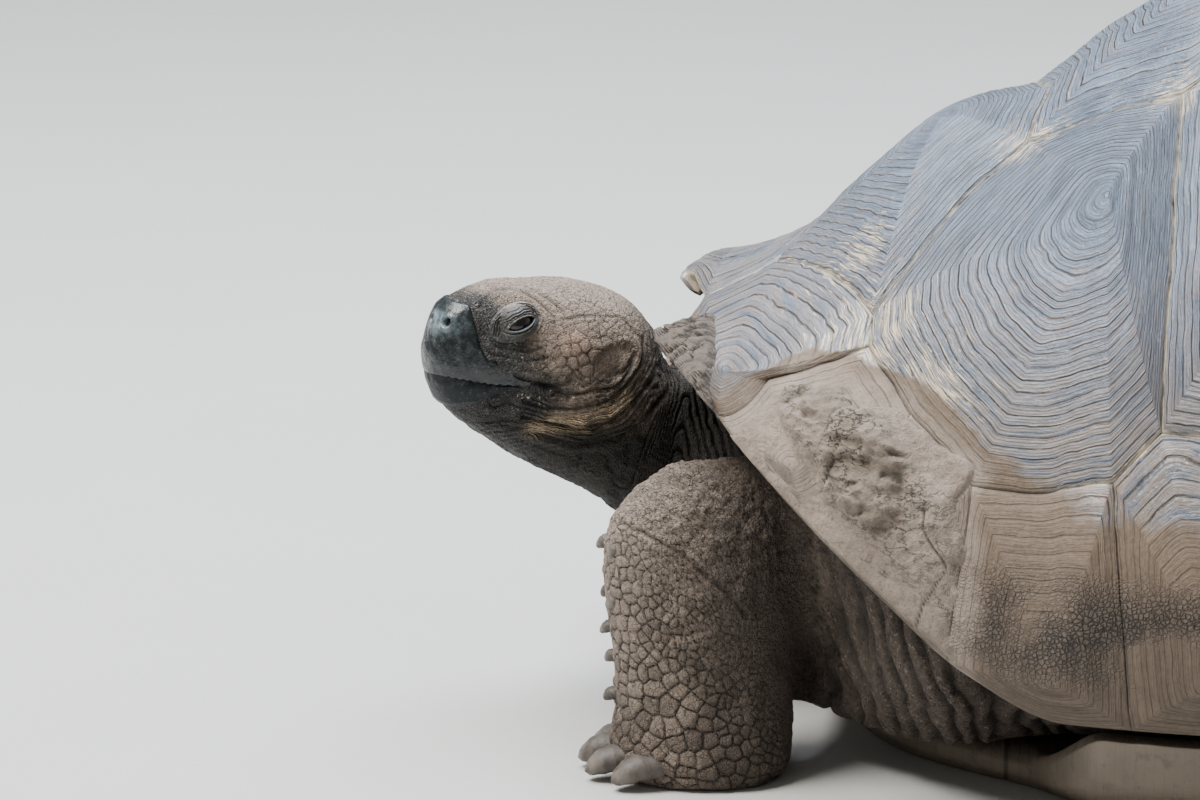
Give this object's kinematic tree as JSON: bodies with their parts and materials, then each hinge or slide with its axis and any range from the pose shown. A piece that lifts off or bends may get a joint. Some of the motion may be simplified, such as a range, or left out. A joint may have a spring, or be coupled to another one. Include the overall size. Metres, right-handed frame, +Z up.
{
  "type": "giant tortoise",
  "caption": "Life-size model of an adult domed giant tortoise resting on its belly plate, head raised and turned to its left, forelegs folded beside the neck.",
  "frame": {"origin": "on the floor under the middle of the whole animal's box", "axes": "+Z up, the animal faces -Y, its left side is +X"},
  "size_m": [0.8308, 1.2674, 0.5815],
  "materials": {
    "shell": "slate-grey horn plates with growth rings, worn pale along the seams and muddy low down",
    "rim": "horn plates under dried mud",
    "belly": "worn brown horn with mud",
    "skin": "dry scaly grey-brown skin with dark creases",
    "horn": "dark polished horn of the beak and claws",
    "eye": "wet and glossy"
  },
  "bodies": {
    "root": {"costal_left_1": "shell", "costal_left_2": "shell", "costal_left_3": "shell", "costal_left_4": "shell", "costal_right_1": "shell", "costal_right_2": "shell", "costal_right_3": "shell", "costal_right_4": "shell", "eye_left": "eye", "eye_right": "eye", "foreleg_left": "skin", "foreleg_right": "skin", "head": "skin", "hindleg_left": "skin", "hindleg_right": "skin", "lower_jaw": "horn", "marginal_left_1": "rim", "marginal_left_10": "rim", "marginal_left_11": "rim", "marginal_left_2": "rim", "marginal_left_3": "rim", "marginal_left_4": "rim", "marginal_left_5": "rim", "marginal_left_6": "rim", "marginal_left_7": "rim", "marginal_left_8": "rim", "marginal_left_9": "rim", "marginal_right_1": "rim", "marginal_right_10": "rim", "marginal_right_11": "rim", "marginal_right_2": "rim", "marginal_right_3": "rim", "marginal_right_4": "rim", "marginal_right_5": "rim", "marginal_right_6": "rim", "marginal_right_7": "rim", "marginal_right_8": "rim", "marginal_right_9": "rim", "neck": "skin", "plastron": "belly", "supracaudal": "rim", "tail": "skin", "trunk": "skin", "vertebral_1": "shell", "vertebral_2": "shell", "vertebral_3": "shell", "vertebral_4": "shell", "vertebral_5": "shell"}
  },
  "joints": []
}
